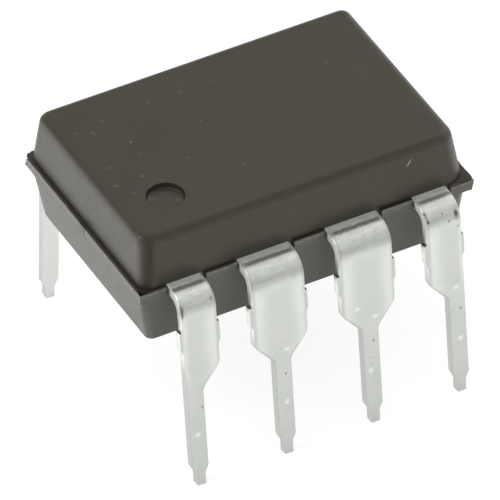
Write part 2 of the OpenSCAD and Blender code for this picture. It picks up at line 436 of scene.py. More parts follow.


# %% [markdown]
# ## The resin
# The body is black epoxy full of ground silica. It isn't truly black: it is a warm dark
# grey with a soft sheen that grows where the surface is seen at a low angle. That sheen is
# also painted into the colour: the upright walls are painted paler, the end walls more.
# The mould was spark-eroded, which leaves a very fine even grain. Below the parting line
# the resin is painted paler, a painted reflection of the floor, and palest where the flash
# was broken off. Painted shade darkens the front left corner, the foot of the upper walls,
# a line under the flange at the ends and the dimple's wall. Dust and fine scratches show
# paler still, and each of the larger ones in the photograph has its place in a list. Two
# paler patches on the dimple's floor are painted highlights.

# %% Dust and scratches on the resin, and painted highlights in the dimple
DUST = (0.15, 0.145, 0.13, 1)
SCRATCH = (0.30, 0.29, 0.26, 1)
top_dust = [
    # x, y, half length, half width, turn, strength
    (-2.94, 0.80, 0.065, 0.05, 0, 0.6),
    (-3.91, 0.14, 0.065, 0.05, 0, 0.4),
    (-3.32, -0.56, 0.065, 0.05, 0, 0.4),
    (-4.07, -0.60, 0.13, 0.04, -27, 0.45),
    (-3.63, 1.58, 0.14, 0.04, -72, 0.4),
    (-4.03, 1.80, 0.065, 0.05, 0, 0.35),
    (-3.20, 1.92, 0.065, 0.05, 0, 0.35),
    (-1.80, 1.98, 0.065, 0.05, 0, 0.35),
    (-2.98, 0.27, 0.055, 0.045, 0, 0.35),
    (-3.82, -1.06, 0.055, 0.045, 0, 0.35),
    (-1.94, -0.50, 0.055, 0.045, 0, 0.35),
    (-0.87, 1.97, 0.055, 0.045, 0, 0.35),
    (-0.97, 0.69, 0.055, 0.045, 0, 0.35),
    (-0.80, -1.41, 0.055, 0.045, 0, 0.35),
]
resin_marks = [
    ((x, y, top_z), (long, wide, 0.1), (0, 0, -angle), DUST, strength)
    for x, y, long, wide, angle, strength in top_dust
]
resin_marks.append(((3.10, -3.04, 6.945), (0.04, 0.12, 0.17), (0, -39, 0), SCRATCH, 1.0))
# Painted highlights: two paler patches on the dimple's floor, in the dust colour
for x, y in ((-3.49, -1.35), (-2.87, -1.72)):
    resin_marks.append(((x, y, 7.20), (0.13, 0.10, 0.08), (0, 0, 0), DUST, 0.20))
print("marks on the resin:", len(resin_marks))

# %% Painted light and shade on the resin, and its paler flash
dimple_x = -3.157
dimple_y = -1.537


def make_resin_light_and_flash_group():
    tree, source, sink = new_group(
        "resin_light_and_flash", [("Place", "Vector", None), ("Normal", "Vector", None)],
        [("Sides", "Float"), ("EndSheen", "Float"), ("Below", "Float"), ("Flash", "Float"), ("PaintedShade", "Float")],
    )
    x, y, z = put(tree, "SeparateXYZ", Vector=source.outputs["Place"]).outputs
    look_x, look_y, look_z = put(tree, "SeparateXYZ", Vector=source.outputs["Normal"]).outputs
    upright = ramp(tree, maths(tree, "ABSOLUTE", look_z), 0.5, 0.9, 1.0, 0.0)
    # Painted light: upright walls paler than the top
    tree.links.new(upright, sink.inputs["Sides"])
    # Painted sheen: the end walls paler, less near the top
    left_end = ramp(tree, look_x, -0.97, -0.75, 1.0, 0.0)
    ends = maths(tree, "MAXIMUM", left_end, ramp(tree, look_x, 0.15, 0.6))
    ends = maths(tree, "MULTIPLY", ends, ramp(tree, z, 6.95, 7.2, 1.0, 0.3))
    tree.links.new(ends, sink.inputs["EndSheen"])
    # Painted reflection of the floor: paler below the parting line
    below = ramp(tree, z, sheet_z - 0.01, sheet_z + 0.04, 1.0, 0.0)
    tree.links.new(below, sink.inputs["Below"])
    beyond_x = maths(tree, "GREATER_THAN", maths(tree, "ABSOLUTE", x), 4.775)
    beyond_y = maths(tree, "GREATER_THAN", maths(tree, "ABSOLUTE", y), 3.252)
    flash = maths(tree, "MULTIPLY", upright, maths(tree, "MAXIMUM", beyond_x, beyond_y))
    in_band = ramp(tree, z, sheet_z - 0.06, sheet_z - 0.04)
    tree.links.new(maths(tree, "MULTIPLY", flash, in_band), sink.inputs["Flash"])
    # Painted shade: a dark band on the front left upright corner
    corner = maths(tree, "MULTIPLY", ramp(tree, look_x, -0.95, -0.6), ramp(tree, look_x, -0.4, -0.02, 0.9, 0.0))
    corner = maths(tree, "MULTIPLY", corner, maths(tree, "LESS_THAN", look_y, -0.3))
    corner = maths(tree, "MULTIPLY", corner, ramp(tree, z, 5.9, 6.0))
    # Painted shade: the foot of the upper walls, just above the flange
    foot_shade = maths(tree, "MULTIPLY", ramp(tree, z, 5.92, 6.34, 0.8, 0.0), maths(tree, "GREATER_THAN", z, 5.9))
    foot_shade = maths(tree, "MULTIPLY", foot_shade, maths(tree, "SUBTRACT", 1.0, flash))
    # Painted shadow: a dark line under the flange's edge on the end walls
    parting = maths(tree, "MULTIPLY", ramp(tree, z, 5.60, 5.615), ramp(tree, z, 5.625, 5.64, 1.0, 0.0))
    parting = maths(tree, "MULTIPLY", parting, maths(tree, "MULTIPLY", ends, 0.8))
    # Painted shade: the dimple's wall, all round
    from_x = maths(tree, "SUBTRACT", x, dimple_x)
    from_y = maths(tree, "SUBTRACT", y, dimple_y)
    reach = put(tree, "CombineXYZ", X=from_x, Y=from_y)
    reach = put(tree, "VectorMath", {"operation": "LENGTH"}, i0=reach.outputs[0]).outputs["Value"]
    dimple = maths(tree, "MULTIPLY", ramp(tree, reach, 0.43, 0.47), ramp(tree, reach, 0.505, 0.54, 1.0, 0.0))
    dimple = maths(tree, "MULTIPLY", dimple, maths(tree, "GREATER_THAN", z, 7.0))
    dark = maths(tree, "MAXIMUM", maths(tree, "MAXIMUM", corner, foot_shade), maths(tree, "MAXIMUM", parting, dimple))
    tree.links.new(dark, sink.inputs["PaintedShade"])
    return tree


resin_light_and_flash = make_resin_light_and_flash_group()

# %% Resin material
def make_resin():
    material, tree, shader, place = start_material("moulded_epoxy", (0.06, 0.055, 0.045, 1))
    normal = put(tree, "NewGeometry").outputs["Normal"]
    pale = use_group(tree, resin_light_and_flash, Place=place, Normal=normal)
    cloud = pattern(tree, mottle, Place=place, Grain=1.4, Detail=4.0, Contrast=0.3)
    base = blend_colour(tree, cloud, (0.0165, 0.0130, 0.0090, 1), (0.0215, 0.0180, 0.0130, 1))
    # Painted light: upright walls paler than the top, end walls paler still as painted sheen
    base = blend_colour(tree, pale["Sides"], base, (0.031, 0.027, 0.022, 1))
    base = blend_colour(tree, pale["EndSheen"], base, (0.092, 0.089, 0.083, 1))
    # Painted reflection of the floor: the lower half paler, more at the ends
    side_below = blend_colour(tree, pale["EndSheen"], (0.103, 0.100, 0.091, 1), (0.112, 0.113, 0.102, 1))
    base = blend_colour(tree, pale["Below"], base, side_below)
    # The broken flash is paler; at the ends it also takes the painted sheen
    side_flash = blend_colour(tree, pale["EndSheen"], (0.120, 0.117, 0.107, 1), (0.190, 0.187, 0.178, 1))
    base = blend_colour(tree, pale["Flash"], base, side_flash)
    crumbs = pattern(tree, mottle, Place=place, Grain=0.07, Detail=2.0, Contrast=0.12)
    z = put(tree, "SeparateXYZ", Vector=place).outputs[2]
    crumbs = maths(tree, "MULTIPLY", crumbs, ramp(tree, z, 5.77, 5.85, 0.0, 0.75))
    base = blend_colour(tree, maths(tree, "MULTIPLY", crumbs, pale["Flash"]), base, (0.24, 0.235, 0.22, 1))
    # Painted shade: nearly black at the front left corner, the foot of the upper walls, the line under the flange
    # and the dimple's wall
    base = blend_colour(tree, pale["PaintedShade"], base, (0.004, 0.003, 0.002, 1))
    dust = pattern(tree, specks, Place=place, Spacing=0.42, Size=0.05, Share=0.14)
    dusty = blend_colour(tree, maths(tree, "MULTIPLY", dust, 0.3), base, DUST)
    tree.links.new(add_marks(tree, dusty, place, resin_marks), shader.inputs["Base Color"])
    sheen = pattern(tree, mottle, Place=place, Grain=0.25, Detail=3.0, Contrast=0.3)
    dull = maths(tree, "MULTIPLY", pale["PaintedShade"], 0.62)
    # The dimple's wall has the highest value of the painted shade mask, and shines least
    dull = maths(tree, "ADD", dull, ramp(tree, pale["PaintedShade"], 0.90, 0.97, 0.0, 0.20))
    roughness = maths(tree, "MAXIMUM", ramp(tree, sheen, 0.0, 1.0, 0.36, 0.42), dull)
    tree.links.new(roughness, shader.inputs["Roughness"])
    shader.inputs["IOR"].default_value = 1.58
    shader.inputs["Specular Tint"].default_value = (1.0, 0.92, 0.76, 1)
    grain = put(tree, "TexNoise", Vector=place, Scale=14.0, Detail=3.0)
    bump(tree, shader, grain.outputs["Fac"], 0.003)
    return material


resin = make_resin()

# %% [markdown]
# ## The tin plate
# The leads are copper alloy with a thin coat of matt tin. All that happened to a lead
# happened along its sheet: the run beside the resin stayed dull, and the forming tool left a
# dark streak and a crease on the bend. The grey along the lead is partly painted
# reflection, which darkens the band at the crease and lightens the shoulder, and the bright
# spots on the legs are painted highlights. The side faces and the faces towards the other
# row get painted light of their own. One node group turns a place into the length along the
# sheet and the distance from its edge.

# %% Along the lead: length from the wall, and nearness to the edge
def make_lead_group():
    tree, source, sink = new_group(
        "along_lead", [("Place", "Vector", None)], [("Length", "Float"), ("Edge", "Float")]
    )
    x, y, z = put(tree, "SeparateXYZ", Vector=source.outputs["Place"]).outputs
    outwards = maths(tree, "ABSOLUTE", y)
    run = slope(tree, outwards, 3.1, 3.45, -0.1, 0.25)
    beyond = maths(tree, "SUBTRACT", outwards, 3.45)
    angle = maths(tree, "ARCTAN2", beyond, maths(tree, "SUBTRACT", z, 5.37))
    bend = slope(tree, angle, 0.0, math.radians(85.6), 0.0, 0.55 * math.radians(85.6))
    leg = slope(tree, z, 5.41, 0.0, 0.0, 5.41)
    tree.links.new(maths(tree, "ADD", maths(tree, "ADD", run, bend), leg), sink.inputs["Length"])
    across = maths(tree, "ABSOLUTE", maths(tree, "WRAP", maths(tree, "SUBTRACT", x, 1.288), 1.27, -1.27))
    narrow = slope(tree, z, 0.36, 0.60, 0.125, 0.242)
    widening = slope(tree, z, 3.06, 3.61, 0.0, 0.525)
    outer_side = maths(tree, "GREATER_THAN", maths(tree, "ABSOLUTE", x), 3.81)
    widening = maths(tree, "MULTIPLY", widening, maths(tree, "SUBTRACT", 1.0, outer_side))
    edge = maths(tree, "DIVIDE", across, maths(tree, "ADD", narrow, widening))
    tree.links.new(edge, sink.inputs["Edge"])
    return tree


along_lead = make_lead_group()

# %% Nicks, painted highlights and stains on the four front leads
NICK = (0.16, 0.165, 0.15, 1)
PAINTED_GLINT = (1.0, 1.0, 0.98, 1)
STAIN = (0.30, 0.31, 0.24, 1)
DIRT = (0.06, 0.058, 0.045, 1)


def leg_y(z):
    """Where the outer face of a front leg is at a height."""
    return -4.0016 - (5.37 - z) * math.tan(math.radians(4.4))


def looks_inwards(tree, place):
    """A mask for the faces of a leg that look towards the other row."""
    normal = put(tree, "NewGeometry").outputs["Normal"]
    look_y = put(tree, "SeparateXYZ", Vector=normal).outputs[1]
    y = put(tree, "SeparateXYZ", Vector=place).outputs[1]
    return ramp(tree, maths(tree, "MULTIPLY", look_y, y), -3.5, -2.0, 1.0, 0.0)


dam_bar_z = 4.87


def on_leg(number, offset, z, wide, high, colour, strength):
    """A mark on the leg of one of the front leads."""
    x = (number - 2.5) * 2.54 + offset
    return ((x, leg_y(z), z), (wide, 0.12, high), (0, 0, 0), colour, strength)


lead_marks = [
    on_leg(1, 0.18, 2.44, 0.035, 0.06, NICK, 0.8),
    on_leg(2, 0.07, 2.55, 0.035, 0.06, NICK, 0.8),
    on_leg(3, 0.08, 2.60, 0.035, 0.06, NICK, 0.8),
    on_leg(4, 0.10, 2.64, 0.035, 0.06, NICK, 0.8),
    # Painted highlights: bright spots on the legs
    on_leg(1, 0.00, 1.62, 0.10, 0.11, PAINTED_GLINT, 0.6),
    on_leg(2, 0.06, 1.66, 0.10, 0.11, PAINTED_GLINT, 0.6),
    on_leg(3, -0.04, 1.68, 0.10, 0.11, PAINTED_GLINT, 0.6),
    on_leg(4, 0.06, 1.70, 0.10, 0.11, PAINTED_GLINT, 0.6),
    on_leg(2, 0.14, 3.30, 0.12, 0.09, PAINTED_GLINT, 0.6),
    on_leg(3, 0.17, 3.34, 0.12, 0.09, PAINTED_GLINT, 0.6),
    on_leg(4, 0.00, 3.34, 0.12, 0.09, PAINTED_GLINT, 0.6),
    on_leg(3, -0.32, 3.74, 0.11, 0.08, PAINTED_GLINT, 0.6),
    ((-3.95, -3.94, 5.60), (0.045, 0.10, 0.16), (0, 0, 0), STAIN, 0.6),
    ((-4.00, -3.92, 5.52), (0.05, 0.20, 0.30), (0, 0, 0), DIRT, 0.8),
    ((-3.14, -3.92, 5.66), (0.05, 0.08, 0.10), (0, 0, 0), STAIN, 0.8),
    ((3.94, -3.95, 5.54), (0.10, 0.12, 0.19), (0, 0, 0), STAIN, 0.6),
    ((3.94, -3.93, 5.60), (0.07, 0.10, 0.15), (0, 0, 0), DIRT, 0.85),
    ((3.97, -4.01, 5.24), (0.06, 0.06, 0.08), (0, 0, 0), STAIN, 0.5),
    ((3.12, -3.87, 5.70), (0.05, 0.14, 0.18), (0, 0, 0), STAIN, 0.7),
    ((3.10, -3.80, 5.80), (0.05, 0.07, 0.07), (0, 0, 0), DIRT, 0.8),
    ((3.14, -3.94, 5.61), (0.05, 0.07, 0.08), (0, 0, 0), DIRT, 0.85),
    ((3.57, -3.89, 5.70), (0.04, 0.05, 0.05), (0, 0, 0), NICK, 0.7),
    ((3.72, -3.99, 5.46), (0.05, 0.05, 0.05), (0, 0, 0), NICK, 0.7),
]
print("marks on the leads:", len(lead_marks))

# %% Tin material
tin_and_reflection_tones = [
    # length in mm, grey of the tin there, partly painted reflection: the dip near 0.9 mm is a painted dark band at
    # the crease
    (-0.10, 0.85), (0.06, 0.90), (0.16, 0.92), (0.22, 0.80), (0.34, 0.62), (0.42, 0.74),
    (0.48, 0.83), (0.56, 0.83), (0.64, 0.74), (0.72, 0.69), (0.80, 0.63), (0.88, 0.55),
    (0.96, 0.59), (1.04, 0.69), (1.12, 0.79), (1.45, 0.81), (2.60, 0.78), (3.40, 0.72),
    (5.60, 0.68), (6.60, 0.64),
]
# Painted light on the side faces, by length: dark beside the resin as painted shade, pale further out as a painted
# reflection of the floor
side_light_tones = [(-0.10, 0.08), (0.13, 0.10), (0.24, 0.85), (0.50, 0.95), (2.40, 0.95), (2.90, 0.60), (6.60, 0.56)]


def make_tin():
    material, tree, shader, place = start_material("tin_plate", (0.8, 0.82, 0.8, 1))
    lead = use_group(tree, along_lead, Place=place)
    looks_x, looks_y, looks_z = facing(tree)
    side_face = ramp(tree, looks_x, 0.75, 0.95)
    wobble = pattern(tree, mottle, Place=place, Grain=0.16, Detail=3.0, Contrast=0.3)
    length = maths(tree, "ADD", lead["Length"], maths(tree, "MULTIPLY", wobble, 0.03))
    tone = tone_curve(tree, length, tin_and_reflection_tones)
    cloud = pattern(tree, mottle, Place=place, Grain=0.5, Detail=4.0, Contrast=0.25)
    tint = blend_colour(tree, cloud, (0.925, 0.97, 0.905, 1), (0.99, 1.02, 0.96, 1))
    base = blend_colour(tree, 1.0, tone, tint, "MULTIPLY")
    streak = maths(tree, "MULTIPLY", ramp(tree, length, 0.20, 0.26), ramp(tree, length, 0.33, 0.40, 1.0, 0.0))
    streak = maths(tree, "MULTIPLY", streak, ramp(tree, lead["Edge"], 0.80, 0.95, 0.9, 0.0))
    base = blend_colour(tree, streak, base, (0.24, 0.24, 0.21, 1))
    # Painted light on the shoulder: painted darker in its middle, with a painted highlight towards its rims
    shoulder = maths(tree, "MULTIPLY", ramp(tree, length, 1.0, 1.4), ramp(tree, length, 2.9, 3.3, 1.0, 0.0))
    centre = maths(tree, "MULTIPLY", shoulder, ramp(tree, lead["Edge"], 0.20, 0.70, 0.55, 0.0))
    base = blend_colour(tree, centre, base, (0.66, 0.68, 0.64, 1))
    edge_highlight = maths(tree, "MULTIPLY", shoulder, ramp(tree, lead["Edge"], 0.45, 0.85, 0.0, 0.5))
    base = blend_colour(tree, edge_highlight, base, (0.90, 0.93, 0.89, 1))
    rubbed = put(tree, "VectorMath", {"operation": "MULTIPLY"}, i0=place, i1=(0.35, 1.0, 1.0)).outputs[0]
    smudge = pattern(tree, mottle, Place=rubbed, Grain=0.10, Detail=4.0, Contrast=0.18)
    on_bend = maths(tree, "MULTIPLY", ramp(tree, length, 0.0, 0.1), ramp(tree, length, 1.0, 1.2, 1.0, 0.0))
    smudge = maths(tree, "MULTIPLY", smudge, maths(tree, "MULTIPLY", on_bend, 0.26))
    base = blend_colour(tree, smudge, base, (0.36, 0.36, 0.32, 1))
    pits = pattern(tree, specks, Place=place, Spacing=0.30, Size=0.045, Share=0.25)
    base = blend_colour(tree, maths(tree, "MULTIPLY", pits, 0.45), base, STAIN)
    rim = maths(tree, "MULTIPLY", ramp(tree, lead["Edge"], 0.84, 0.97), 0.30)
    base = blend_colour(tree, rim, base, (0.30, 0.31, 0.28, 1))
    # The side faces take that painted light instead of the front's grey
    side_light_tone = blend_colour(tree, 1.0, tone_curve(tree, length, side_light_tones), (0.99, 1.0, 0.97, 1), "MULTIPLY")
    base = blend_colour(tree, side_face, base, side_light_tone)
    inner_face = looks_inwards(tree, place)
    # Painted light: the faces towards the other row are painted paler against the body's shade, and darker towards
    # the tip
    inner_painted_light = tone_curve(tree, length, [(0.5, 0.96), (1.5, 0.96), (3.2, 0.82), (6.6, 0.68)])
    inner_painted_light = blend_colour(tree, 1.0, inner_painted_light, (0.97, 1.0, 0.95, 1), "MULTIPLY")
    base = blend_colour(tree, inner_face, base, inner_painted_light)
    z = put(tree, "SeparateXYZ", Vector=place).outputs[2]
    at_stub = maths(tree, "LESS_THAN", maths(tree, "ABSOLUTE", maths(tree, "SUBTRACT", z, dam_bar_z)), 0.03)
    shelf = maths(tree, "MULTIPLY", ramp(tree, looks_z, 0.5, 0.8, 0.0, 0.9), at_stub)
    base = blend_colour(tree, shelf, base, DIRT)
    base = add_marks(tree, base, place, lead_marks)
    tree.links.new(base, shader.inputs["Base Color"])
    side_metal = ramp(tree, length, 1.0, 1.6, 0.1, 0.95)
    metal = put(tree, "Mix", i0=side_face, i2=0.6, i3=side_metal).outputs[0]
    tree.links.new(maths(tree, "MAXIMUM", metal, inner_face), shader.inputs["Metallic"])
    frost = pattern(tree, mottle, Place=place, Grain=0.12, Detail=3.0, Contrast=0.3)
    tree.links.new(ramp(tree, frost, 0.0, 1.0, 0.32, 0.42), shader.inputs["Roughness"])
    grain = put(tree, "TexNoise", Vector=place, Scale=20.0, Detail=3.0)
    bump(tree, shader, grain.outputs["Fac"], 0.003)
    return material


tin = make_tin()

# %% [markdown]
# ## The body
# The real body is moulded in one shot between two mould halves. They meet at the parting
# flange, a thin ragged ledge all round at the height of the leadframe. All walls lean in,
# so that the block leaves the mould, and in the photograph the front wall of the upper half
# leans a little more than the others. A single cube is enough to start: it is the flange,
# and the two halves are extruded from its faces. The flange's faces lie a hair outside the
# sheet's, so that the resin and not the copper tie bar shows.

# %% The flange, and both halves extruded from it
flange_len = 9.67
flange_wid = 6.56
skin = 0.003
flange_low = sheet_z - skin
flange_high = sheet_top_z + skin

# Sides are given as left, right, front and back
flange_sides = (-flange_len / 2, flange_len / 2, -flange_wid / 2, flange_wid / 2)
upper_base = (-4.70, 4.70, -3.165, 3.25)
upper_leans = (7, 7, 8.7, 7)
lower_base = (-4.76, 4.76, -3.25, 3.25)
lower_leans = (8.3, 7, 7, 7)


def move_sides(before, after):
    """Scales and slides the selection, so that its four sides go from one place to another."""
    pivot = Vector(((before[0] + before[1]) / 2, (before[2] + before[3]) / 2, 0))
    goal = Vector(((after[0] + after[1]) / 2, (after[2] + after[3]) / 2, 0))
    along = (after[1] - after[0]) / (before[1] - before[0])
    across = (after[3] - after[2]) / (before[3] - before[2])
    scale_about((along, across, 1), pivot)
    bpy.ops.transform.translate(value=goal - pivot)


def raise_half(direction, base, leans, height):
    """Extrudes one half from the flange: first the ledge, then the leaning walls."""
    inwards = [height * math.tan(math.radians(lean)) for lean in leans]
    far = [side + sign * lean for side, sign, lean in zip(base, (1, -1, 1, -1), inwards)]
    pick("faces", lambda face: face.normal.z * direction > 0.9)
    extrude()
    move_sides(flange_sides, base)
    extrude((0, 0, direction * height))
    move_sides(base, far)


body = add_block(
    "body", (flange_len, flange_wid, flange_high - flange_low), (0, 0, (flange_high + flange_low) / 2)
)
edit(body)
raise_half(1, upper_base, upper_leans, top_z - flange_high)
raise_half(-1, lower_base, lower_leans, flange_low - under_z)
print("body corners:", len(body.data.vertices))

# %% [markdown]
# The upright corners are round, because the mould was milled, and so are the rims of the
# top and of the underside. In the photograph each corner has a radius of its own, and the
# top's rim is sharper at the left end. The upright edges are bevelled first. The top's rim
# comes after them, as a Bevel modifier that follows weights on the edges, because these can
# change gently round a corner.

# %% Round corners and rims
# Side along x, side along y, radius
upper_corners = [(-1, -1, 0.39), (1, -1, 0.47), (-1, 1, 0.37), (1, 1, 0.26)]
lower_corners = [(-1, -1, 0.22), (1, -1, 0.43), (-1, 1, 0.43), (1, 1, 0.43)]
under_rim = 0.07


def upright_edge(side_x, side_y, side_z):
    """A test for the upright edge of one half in one quarter of the plan."""
    def test(edge):
        centre = middle(edge)
        in_quarter = centre.x * side_x > 0 and centre.y * side_y > 0
        return rise(edge) > 1 and in_quarter and (centre.z - sheet_z) * side_z > 0
    return test


for side_z, corners in ((1, upper_corners), (-1, lower_corners)):
    for side_x, side_y, radius in corners:
        pick("edges", upright_edge(side_x, side_y, side_z))
        round_edges(radius, 8)
pick("edges", lambda edge: rise(edge) < 0.001 and middle(edge).z < under_z + 0.001)
round_edges(under_rim, 4)

# %% The top's rim, sharper at the left end
top_rim = 0.22
left_share = 0.45


def share_of_rim(edge):
    """How much of the full radius an edge of the top gets."""
    if middle(edge).x > 0:
        return 1.0
    along = (edge.verts[1].co - edge.verts[0].co).normalized()
    return round(left_share + (1 - left_share) * abs(along.x), 3)


def on_top(edge):
    return rise(edge) < 0.001 and middle(edge).z > top_z - 0.001


mesh = bmesh.from_edit_mesh(body.data)
shares = sorted({share_of_rim(edge) for edge in mesh.edges if on_top(edge)})
for share in shares:
    pick("edges", lambda edge: on_top(edge) and share_of_rim(edge) == share)
    bpy.ops.transform.edge_bevelweight(value=share)
leave_edit()
apply_modifier(body, "BEVEL", width=top_rim, segments=7, limit_method="WEIGHT", use_clamp_overlap=False)
print("steps in the rim's radius:", len(shares), "faces", len(body.data.polygons))

# %% [markdown]
# Resin seeps a little between the mould halves and is broken off, so the flange's edge is
# uneven. Bisecting the flange many times gives it enough points, and a seeded random
# shift of the points on its edge makes it ragged. They are moved in first, so that none
# ends up outside the part's box. The flange's upper edge is rounded off, except at the
# right end, its back left corner is broken, and it hangs down a little at both ends.

# %% The ragged edge of the flange
cut_gap = 0.11
end_inset = 0.009
side_inset = 0.012
rim_jitter = 0.009
ledge_round = 0.065
broken_corner = Vector((-flange_len / 2, flange_wid / 2, 0))
corner_chip = Vector((0.02, -0.055, -0.03))
end_drop = 0.04
corner_reach = 4.06


def on_flange(item):
    """True for a face or a vertex at the height of the flange."""
    z = item.co.z if isinstance(item, bmesh.types.BMVert) else item.calc_center_median().z
    return flange_low - 0.06 < z < flange_high + 0.01


def bisect_flange(axis, reach):
    """Cuts the flange's faces at even steps along one axis."""
    normal = [0, 0, 0]
    normal[axis] = 1
    steps = int(reach / cut_gap)
    for step in range(-steps + 1, steps):
        point = [0, 0, 0]
        point[axis] = step * reach / steps
        pick("faces", on_flange)
        bpy.ops.mesh.bisect(plane_co=point, plane_no=normal)


def on_ledge_edge(edge):
    """An upper edge of the flange's rim, but not the one at the right end."""
    beside = [face for face in edge.link_faces if abs(face.normal.z) < 0.1 and on_flange(face)]
    return beside and middle(edge).z > flange_high - 0.001 and middle(edge).x < flange_len / 2 - 0.001


edit(body)
pick("edges", on_ledge_edge)
round_edges(ledge_round, 3)
bisect_flange(0, flange_len / 2)
bisect_flange(1, flange_wid / 2)


def on_flange_edge(vertex):
    """A point on the flange's edge that isn't one of its corners."""
    at_end = abs(vertex.co.x) > flange_len / 2 - 0.001
    at_side = abs(vertex.co.y) > flange_wid / 2 - 0.001
    return at_end != at_side


def near_edge_at(height, reach=0.0):
    """A test for the points on the flange's edge near a height, beyond a distance along x."""
    def test(vertex):
        at_end = abs(vertex.co.x) > flange_len / 2 - 0.03
        at_side = abs(vertex.co.y) > flange_wid / 2 - 0.026
        return (at_end or at_side) and abs(vertex.co.z - height) < 0.02 and abs(vertex.co.x) > reach
    return test


count = pick("verts", on_flange_edge)
scale_about((1 - 2 * end_inset / flange_len, 1 - 2 * side_inset / flange_wid, 1))
bpy.ops.transform.vertex_random(offset=rim_jitter, uniform=0.6, seed=7)
pick("verts", near_edge_at(flange_low))
scale_about((1, 1, 0.3), (0, 0, flange_low))
pick("verts", near_edge_at(flange_low, corner_reach))
bpy.ops.transform.translate(value=(0, 0, -end_drop))
pick("verts", lambda vertex: vertex.co.x > 4.8 and abs(vertex.co.y) > 3.25 and abs(vertex.co.z - flange_low) < 0.06)
bpy.ops.transform.translate(value=(-0.06, 0, 0))
for reach in (0.22, 0.09):
    pick("verts", lambda vertex: (
        (vertex.co.xy - broken_corner.xy).length < reach and on_flange(vertex)
        and (vertex.co.x < -4.76 or vertex.co.y > 3.26)
    ))
    bpy.ops.transform.translate(value=corner_chip)
pick("verts", lambda vertex: on_flange(vertex) and vertex.co.x > corner_reach and vertex.co.y < -3.2)
bpy.ops.transform.translate(value=(0, 0, -0.05))
bpy.ops.mesh.select_mode(type="FACE")
bpy.ops.mesh.select_all(action="SELECT")
bpy.ops.mesh.quads_convert_to_tris()
leave_edit()
merge_and_turn_out(body)
print("points on the flange's edge:", count, "open edges", open_edges(body))

# %% [markdown]
# Each lead lies in a slot of the flange. In the photograph it fits closely on its left and
# leaves a gap on its right. A block cuts each slot, from the upper wall outwards.

# %% Slots for the leads
pitch = 2.54
shoulder_w = 1.535
leg_w = 0.485
row_shift = 0.018
slot_gap = 0.012
wide_gap = 0.10


def lead_x(number):
    """Where a lead is along the body. Leads 1 to 4 are in front, 5 to 8 behind."""
    return row_shift + ((number - 2.5) if number <= 4 else (6.5 - number)) * pitch


def add_slot_cutter(number):
    """A block as wide as a lead. The end leads are narrow on the side of the body's end."""
    front = number <= 4
    left = -(leg_w if number in (1, 8) else shoulder_w) / 2
    right = (leg_w if number in (4, 5) else shoulder_w) / 2
    left -= slot_gap if front else wide_gap
    right += wide_gap if front else slot_gap
    near, far = (-3.40, upper_base[2]) if front else (upper_base[3], 3.40)
    centre = (lead_x(number) + (left + right) / 2, (near + far) / 2, sheet_top_z - 0.10)
    return add_block("slot", (right - left, far - near, 0.34), centre)


for number in range(1, 9):
    cut_out(body, add_slot_cutter(number))
print("faces with the slots:", len(body.data.polygons), "open edges", open_edges(body))

# %% [markdown]
# The dimple beside lead 1 and the two ejector pin marks in the underside are round, so a
# cylinder cuts each of them. The dimple's cutter gets narrower downwards and has a rounded
# lower edge, which gives the dimple its dished floor.

# %% Dimple and ejector marks
dimple_r = 0.5
dimple_depth = 0.14
ejector_x = 2.3
ejector_r = 0.7
ejector_depth = 0.05


def round_cutter(centre, radius, depth, radius_below, direction, narrowing=1.0):
    """A round cutter that gets narrower inwards and has a rounded inner edge."""
    cutter = add_cutter(radius, 2 * depth, centre)
    edit(cutter)
    for side, factor in ((-1, narrowing), (1, 2 - narrowing)):
        pick("verts", lambda vertex: (vertex.co.z - centre[2]) * direction * side > 0.001)
        scale_about((factor, factor, 1), centre)
    edge_z = centre[2] - direction * depth
    pick("edges", lambda edge: rise(edge) < 0.001 and abs(middle(edge).z - edge_z) < 0.001)
    round_edges(radius_below, 6)
    leave_edit()
    return cutter


cut_out(body, round_cutter((dimple_x, dimple_y, top_z), dimple_r, dimple_depth, 0.05, 1, 0.95))
for side in (-1, 1):
    mark_place = (side * ejector_x, 0, under_z)
    cut_out(body, round_cutter(mark_place, ejector_r, ejector_depth, 0.02, -1))


def on_dimple_rim(edge):
    flat = Vector((middle(edge).x - dimple_x, middle(edge).y - dimple_y))
    return rise(edge) < 0.001 and middle(edge).z > top_z - 0.001 and abs(flat.length - dimple_r) < 0.004


edit(body)
rim_edges = pick("edges", on_dimple_rim)
round_edges(0.012, 2)
leave_edit()
merge_and_turn_out(body)
print("edges on the dimple's rim:", rim_edges)
finish_piece(body, "resin_body", resin, ["body"], 40)

# %% [markdown]
# ## The leads
# A lead is stamped from flat sheet, then bent down and spread a little outwards. The
# same order works here: a block is extruded outwards through the wall, spun through the
# bend, and extruded down the leg, with a change of width where the stamping has one.

# %% Sizes along a lead
finger_w = 0.5
finger_end_y = 1.35
root_y = 2.28
run_y = 3.13
bend_y = 3.45
bend_r = 0.3
bend_z = sheet_z - bend_r
splay = math.radians(4.4)
nib_w = 0.25
dam_z = dam_bar_z
dam_end_z = 4.18
dam_stub = 0.07
seat_z = 3.61
leg_top_z = 2.98
leg_end_z = 0.6
nib_z = 0.36
leg_start_z = bend_z + bend_r * math.sin(splay)
down = Vector((0, -math.sin(splay), -math.cos(splay)))
print("length of the leg below the bend:", round(leg_start_z / math.cos(splay), 3), "mm")

# %% [markdown]
# One function draws both kinds of lead. A middle lead is even on both sides. An end lead
# is straight on the side towards the body's end, so its widths are scaled about that
# straight edge. Where the leadframe's dam bar was sheared off, a short stub stands out of
# each edge of the shoulder.

# %% Press one lead
def step_to(z, last_z, factor=1.0, pivot_x=0.0):
    """Extrudes the leg's end down to a height and changes its width."""
    extrude(down * (last_z - z) / math.cos(splay))
    scale_about((factor, 1, 1), (pivot_x, 0, 0))


